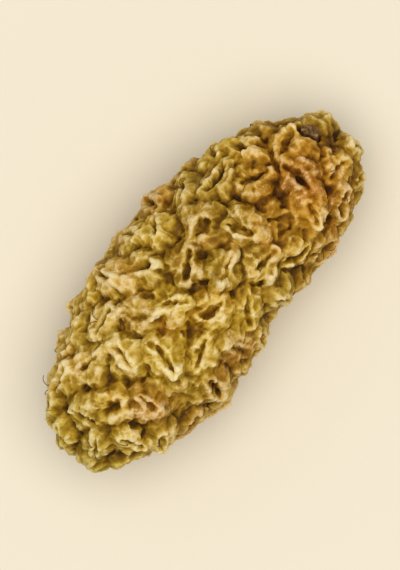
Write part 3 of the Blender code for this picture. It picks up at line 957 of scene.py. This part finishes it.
# The broken end of the stalk, in millimetres: a little oval, with bark that shrank along its fibres, torn
# across at the end
stub = {
    "radius": 0.49,
    "endShare": 0.90,  # of the radius that is left at the torn end
    "oval": 0.09,
    "rings": 26,
    "sides": 72,
    "phases": 8,  # drawn for the waves, the fibres and the oval, with some to spare
    "barkDepth": 0.035,
    "barkWaves": (3, 4, 7),  # round the stalk
    "barkTwist": 1.5,
    "fibreDepth": 0.012,
    "fibres": 19,
    "fibreWander": 2,  # times that they sway round it
    "edge": 0.10,  # how far the end's edge is drawn in, and from which share of the length on
    "edgeStart": 0.93,
    "tear": 0.20,
    "tearSpread": 0.6,  # weight of the tear two places round, where the nearer ones have 1
    "tearStart": 6,  # higher leaves more of the side whole
    "tearAcross": 0.75,
    "splinters": 0.50,
    "tornStart": 0.95,  # share of the length from which it has the torn end's colour
    "endRings": (0.86, 0.72, 0.58, 0.44, 0.30, 0.15),  # shares of the radius, as the pith
    "pith": 0.42,
    "pithPaleness": 0.45,
    "dish": 0.13,  # how deep the pith is sunk
    "bark": [(0.32, "#2C1A09"), (0.50, "#523516"), (0.70, "#7D5A2E")],
    "torn": [(0.34, "#4A3116"), (0.52, "#84643A"), (0.68, "#B8965F")],
    "mottleSize": 0.20,
    "grainSize": 0.0625,  # coarser than the real fibres, which wouldn't show
    "grainDepth": 0.04,
    "seed": 8,
}


def stalkMaterial():
    # dry mulberry stalk: thin bark, shrunken in the air along its fibres, then torn off. That gives the
    # eye a dull, dark brown side, and a paler, mottled end where the fibres broke
    material, tree, inMillimetres = newMaterial("dryMulberryStalk")
    mottle, grain = [
        addNode(tree, "ShaderNodeTexNoise", {},
                {"Vector": inMillimetres, "Scale": 1 / stub[size], "Detail": detail})
        for size, detail in (("mottleSize", 4.0), ("grainSize", 3.0))]
    bark, torn = [addNode(tree, "ShaderNodeValToRGB", {"stops": stub[name]}, {"Fac": mottle})
                  for name in ("bark", "torn")]
    end = addNode(tree, "ShaderNodeAttribute", {"attribute_name": "torn"})
    colour = addNode(tree, "ShaderNodeMix", {"data_type": "RGBA"},
                     {"A": bark, "B": torn, "Factor": (end, "Fac")})
    bump = addNode(tree, "ShaderNodeBump", {}, {
        "Height": grain, "Strength": 1.0, "Distance": stub["grainDepth"] / perMetre})
    wood = addNode(tree, "ShaderNodeBsdfPrincipled", {}, {
        "Base Color": colour, "Roughness": 0.85, "IOR": 1.45, "Specular IOR Level": 0.3, "Normal": bump})
    addNode(tree, "ShaderNodeOutputMaterial", {}, {"Surface": wood})
    return material


def stubMesh():
    rng = random.Random(stub["seed"])
    foot, stalkFrame = onStalk(-stalk["sunk"])
    sides, rings, length = stub["sides"], stub["rings"], stalk["length"]
    phases = [rng.uniform(0, math.tau) for _ in range(stub["phases"])]
    fibrePhase, ovalPhase = phases[4:6]
    ragged = [rng.random() for _ in range(sides)]
    spread = stub["tearSpread"]
    tears = [(ragged[k - 1] + ragged[k] + spread * ragged[k - 2]) / (2 + spread) for k in range(sides)]
    turns = [math.tau * side / sides for side in range(sides)]

    def uneven(turn, share):
        bark = sum(math.sin(waves * turn + phase + stub["barkTwist"] * share)
                   for waves, phase in zip(stub["barkWaves"], phases))
        sway = math.sin(stub["fibreWander"] * (turn + share))
        fibres = abs(math.sin(stub["fibres"] / 2 * turn + fibrePhase + sway))
        oval = stub["oval"] * math.cos(2 * turn + ovalPhase)
        return oval + (stub["barkDepth"] * bark / 2 - stub["fibreDepth"] * fibres) / stub["radius"]

    points, tornness = [], []
    for ring in range(rings):
        share = ring / (rings - 1)
        drawnIn = stub["edge"] * max(0.0, share - stub["edgeStart"]) / (1 - stub["edgeStart"])
        for turn, tear in zip(turns, tears):
            radius = stub["radius"] * (1 + (stub["endShare"] - 1) * share) * (1 + uneven(turn, share))
            radius *= 1 - drawnIn
            height = share * length - stub["tear"] * tear * share ** stub["tearStart"]
            points.append((radius * math.cos(turn), radius * math.sin(turn), height))
            tornness.append(max(0.0, (share - stub["tornStart"]) / (1 - stub["tornStart"])))
    for inner in stub["endRings"]:
        isWood = inner > stub["pith"]
        sunken = stub["dish"] * max(0.0, 1 - inner / stub["pith"]) ** 0.5
        for turn, tear in zip(turns, tears):
            radius = inner * stub["radius"] * stub["endShare"] * (1 + uneven(turn, 1) * inner)
            splinter = stub["splinters"] * rng.random() * isWood
            lost = stub["tear"] * (stub["tearAcross"] * tear * inner + splinter)
            points.append((radius * math.cos(turn), radius * math.sin(turn), length - sunken - lost))
            tornness.append(1.0 if isWood else stub["pithPaleness"])
    placed = [foot + stalkFrame @ Vector(point) for point in points]
    mesh = newMesh("stalkEnd", placed, tubeFaces(rings + len(stub["endRings"]), sides))
    mesh.attributes.new("torn", "FLOAT", "POINT").data.foreach_set("value", tornness)
    mesh.materials.append(stalkMaterial())
    mesh.shade_smooth()
    return toMetres(mesh)


stalkPiece = newObject("stalk_end", stubMesh())
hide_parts("stalk_stub")
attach(stalkPiece, "root")
print("stalk made:", len(stalkPiece.data.polygons), "faces")


# Threads of the dried styles, which hang out of some of the slits, in millimetres
styles = {
    "share": 0.24,  # of the drupelets that keep one, on each side of the slit
    "length": (0.40, 0.80),
    "thickness": 0.036,
    "tipThickness": 0.45,  # share of that
    "points": 9,
    "sides": 5,
    "root": 0.20,  # heights over the drupelet's seat
    "arch": 1.02,
    "end": 0.64,
    "archPlace": 0.15,  # share of the length
    "turnJitter": math.radians(50),
    "curlSize": 0.45,
    "curl": 0.26,
    "margin": 0.25,  # kept inside the berry's own box
    "colour": "#5B3A18",
    "roughness": 0.7,
    "seed": 21,
}

# Dried mulberry styles: soft threads that withered in the air, which leaves them dull and dark brown
styleThread = plainMaterial("driedStyleThread", styles["colour"], styles["roughness"])


def styleRoots():
    # the seats, marked where a thread in any direction stays inside the box
    mesh = seatPoints()
    low, high = cadLow * perMetre, cadHigh * perMetre
    margin = styles["margin"]
    free = mesh.attributes.new("hasRoom", "BOOLEAN", "POINT")
    for number, seat in enumerate(seats):
        tips = []
        for quarter in range(4):
            turned = Matrix.Rotation(math.radians(90 * quarter), 3, "Z")
            sideways = turned @ Vector((styles["length"][1], 0, styles["arch"]))
            tips.append(seat["middle"] + seat["frame"] @ sideways)
        free.data[number].value = all(
            low[axis] + margin < tip[axis] < high[axis] - margin for tip in tips for axis in (0, 1, 2))
    return mesh


def stylesTree(inputs):
    # one bent curve for each chosen slit and side, turned at random, curled by noise, with a round section
    tree, given = newTree("threadsOnSeats", inputs)
    rootPoint, archPoint, endPoint = [
        addNode(tree, "ShaderNodeCombineXYZ", {}, {"X": along, "Z": (given, height)})
        for along, height in ((0.0, "Root"), ((given, "Arch Place"), "Arch"), (1.0, "End"))]
    bent = addNode(tree, "GeometryNodeCurveQuadraticBezier", {}, {
        "Resolution": (given, "Points"), "Start": rootPoint, "Middle": archPoint, "End": endPoint})
    seatTurn = addNode(tree, "GeometryNodeInputNamedAttribute", {"data_type": "QUATERNION"},
                       {"Name": "seatTurn"})
    room = addNode(tree, "GeometryNodeInputNamedAttribute", {"data_type": "BOOLEAN"}, {"Name": "hasRoom"})
    least = addNode(tree, "ShaderNodeMath", "MULTIPLY", {0: (given, "Turn Jitter"), 1: -1.0})
    grown = []
    for side in (0, 1):
        seed = addNode(tree, "ShaderNodeMath", "ADD", {0: (given, "Seed"), 1: float(side)})
        drawn = addNode(tree, "FunctionNodeRandomValue", {"data_type": "BOOLEAN"},
                        {"Probability": (given, "Share"), "Seed": seed})
        chosen = addNode(tree, "FunctionNodeBooleanMath", "AND", {0: drawn, 1: room})
        jitter = addNode(tree, "FunctionNodeRandomValue", {"data_type": "FLOAT"},
                         {"Min": least, "Max": (given, "Turn Jitter"), "Seed": seed})
        heading = addNode(tree, "ShaderNodeMath", "ADD", {0: jitter, 1: side * math.pi})
        spin = addNode(tree, "ShaderNodeCombineXYZ", {}, {"Z": heading})
        turn = addNode(tree, "FunctionNodeEulerToRotation", {}, {"Euler": spin})
        placed = addNode(tree, "FunctionNodeRotateRotation", {"rotation_space": "LOCAL"},
                         {"Rotation": seatTurn, "Rotate By": turn})
        length = addNode(tree, "FunctionNodeRandomValue", {"data_type": "FLOAT"},
                         {"Min": (given, "Shortest"), "Max": (given, "Longest"), "Seed": seed})
        scale = addNode(tree, "ShaderNodeCombineXYZ", {}, {"X": length, "Y": 1.0, "Z": 1.0})
        grown.append(addNode(tree, "GeometryNodeInstanceOnPoints", {}, {
            "Points": (given, "Geometry"), "Selection": chosen, "Instance": bent, "Rotation": placed,
            "Scale": scale}))
    both = addNode(tree, "GeometryNodeJoinGeometry", {}, {"Geometry": grown})
    threads = addNode(tree, "GeometryNodeRealizeInstances", {}, {"Geometry": both})
    alongIt = addNode(tree, "GeometryNodeSplineParameter")
    amount = addNode(tree, "ShaderNodeMath", "MULTIPLY", {0: (alongIt, "Factor"), 1: (given, "Curl")})
    offset = noiseOffset(tree, given, "Curl", amount, detail=0.0)
    curled = addNode(tree, "GeometryNodeSetPosition", {}, {"Geometry": threads, "Offset": offset})
    radius = addNode(tree, "ShaderNodeMath", "MULTIPLY", {0: (given, "Thickness"), 1: 0.5})
    section = addNode(tree, "GeometryNodeCurvePrimitiveCircle", {},
                      {"Resolution": (given, "Sides"), "Radius": radius})
    thinning = addNode(tree, "ShaderNodeMapRange", {}, {
        "Value": (alongIt, "Factor"), "From Min": 0.5, "From Max": 1.0, "To Min": 1.0,
        "To Max": (given, "Tip Thickness")})
    tapered = addNode(tree, "GeometryNodeSetCurveRadius", {}, {"Curve": curled, "Radius": thinning})
    tubes = addNode(tree, "GeometryNodeCurveToMesh", {}, {
        "Curve": tapered, "Profile Curve": (section, "Curve"), "Fill Caps": True})
    return endTree(tree, given, tubes)


def growStyles():
    grower = newObject("styleGrower", styleRoots())
    addTree(grower, stylesTree, {
        "Share": styles["share"], "Shortest": styles["length"][0], "Longest": styles["length"][1],
        "Thickness": styles["thickness"], "Tip Thickness": styles["tipThickness"], "Root": styles["root"],
        "Arch": styles["arch"], "End": styles["end"], "Arch Place": styles["archPlace"],
        "Points": styles["points"], "Sides": styles["sides"], "Turn Jitter": styles["turnJitter"],
        "Curl Size": styles["curlSize"], "Curl": styles["curl"], "Seed": styles["seed"],
        "Material": styleThread})
    mesh = evaluatedMesh(grower, "driedStyles")
    bpy.data.objects.remove(grower)
    mesh.shade_smooth()
    return toMetres(mesh)


threads = newObject("dried_styles", growStyles())
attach(threads, "root")
print("styles made:", len(threads.data.polygons), "faces")


# The floor, the camera and the light, in metres
stage = {
    "floorColour": "#EFE9D9",
    "floorRoughness": 0.9,
    "floorSize": 1.6,
    "viewHeight": 0.0262,  # of the picture's long side, at the berry
    "cameraHeight": 0.36,
    "sensor": 36.0,  # millimetres
    "roll": math.radians(51),  # +X of the frame points up and to the right in the picture
    "aimUp": 0.004,  # the berry's middle over the floor
    "roomColour": "#FFFAF0",
    "roomLight": 0.32,
    # each light comes from the right, the top and the camera by these parts; its power is in watts
    "lights": {
        "keyLight": {"from": (0.04, -0.10, 1.2), "size": 0.46, "power": 1.46, "colour": "#FFF9EF"},
        "fillLight": {"from": (-0.6, 0.5, 1.4), "size": 0.36, "power": 0.12, "colour": "#F6F8FF"},
    },
    "lightDistance": 0.40,
}


def pictureDirection(right, up, towards):
    # to the frame's axes, with the camera straight above
    roll = stage["roll"]
    x = right * math.cos(roll) + up * math.sin(roll)
    y = -right * math.sin(roll) + up * math.cos(roll)
    return Vector((x, y, towards))


def addCamera():
    data = bpy.data.cameras.new("camera")
    data.sensor_width = stage["sensor"]
    data.lens = stage["sensor"] * (stage["cameraHeight"] - stage["aimUp"]) / stage["viewHeight"]
    data.clip_start = 0.01
    data.clip_end = 5.0
    made = newObject("camera", data)
    low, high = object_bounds()
    middle = (low + high) / 2
    made.location = (middle.x, middle.y, stage["cameraHeight"])
    made.rotation_euler = (0.0, 0.0, -stage["roll"])
    bpy.context.scene.camera = made


def addLight(name, light):
    data = bpy.data.lights.new(name, "AREA")
    data.shape = "DISK"
    data.size = light["size"]
    data.energy = light["power"]
    data.color = linearColour(light["colour"])[:3]
    made = newObject(name, data)
    made.location = pictureDirection(*light["from"]).normalized() * stage["lightDistance"]
    made.rotation_euler = made.location.to_track_quat("Z", "Y").to_euler()


def addFloor():
    half = stage["floorSize"] / 2
    corners = [(-half, -half, 0), (half, -half, 0), (half, half, 0), (-half, half, 0)]
    mesh = newMesh("floor", corners, [(0, 1, 2, 3)])
    # uncoated cream paper, pressed from pulp and left plain, which gives the eye an even, matte floor
    mesh.materials.append(plainMaterial("matteCreamPaper", stage["floorColour"], stage["floorRoughness"]))
    newObject("floor", mesh)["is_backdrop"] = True


def addRoom():
    world = bpy.data.worlds.new("softRoom")
    world.use_nodes = True
    light = world.node_tree.nodes["Background"]
    light.inputs["Color"].default_value = linearColour(stage["roomColour"])
    light.inputs["Strength"].default_value = stage["roomLight"]
    bpy.context.scene.world = world


addFloor()
addCamera()
for name, light in stage["lights"].items():
    addLight(name, light)
addRoom()
bpy.context.scene.view_settings.view_transform = "Standard"
print("stage set:", len(stage["lights"]), "lights")
